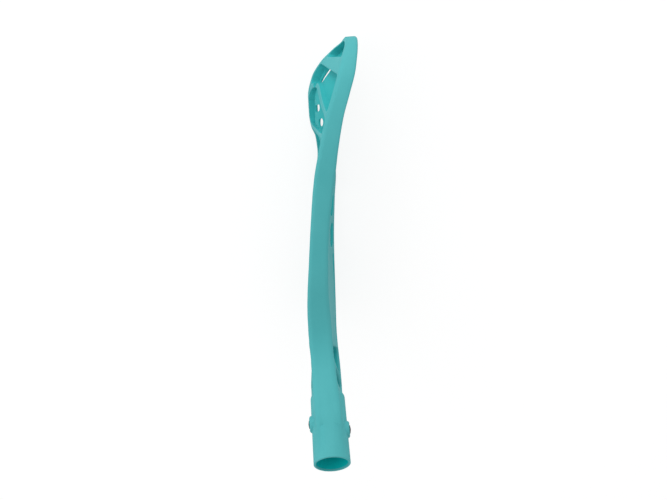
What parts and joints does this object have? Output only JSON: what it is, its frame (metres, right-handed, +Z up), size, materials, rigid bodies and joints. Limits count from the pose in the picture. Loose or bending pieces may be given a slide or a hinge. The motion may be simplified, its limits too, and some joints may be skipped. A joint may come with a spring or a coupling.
{
  "type": "floorball blade",
  "caption": "Hooked floorball blade with a hollow face, a ribbed and slotted back, and a leaning socket whose side screws hold a stick's shaft.",
  "frame": {"origin": "middle of the base of the part's box, with the blade standing on its sole", "axes": "+Z up, from the sole to the top rim; +X from the toe to the heel and the neck; +Y towards the hollow forehand face"},
  "size_m": [0.321, 0.0604, 0.1369],
  "materials": {
    "turquoise_plastic": "injection-moulded polyethylene, coloured through, satin with a fine grain",
    "dark_steel": "blackened steel, low sheen"
  },
  "bodies": {
    "blade": {"blade_moulding": "turquoise_plastic"},
    "front_screw": {"front_screw": "dark_steel"},
    "back_screw": {"back_screw": "dark_steel"}
  },
  "joints": [
    {"name": "front_screw_travel", "type": "slide", "parent": "blade", "child": "front_screw", "axis": [0, 1, 0], "range_m": [0, 0.012]},
    {"name": "back_screw_travel", "type": "slide", "parent": "blade", "child": "back_screw", "axis": [0, -1, 0], "range_m": [0, 0.012]}
  ]
}
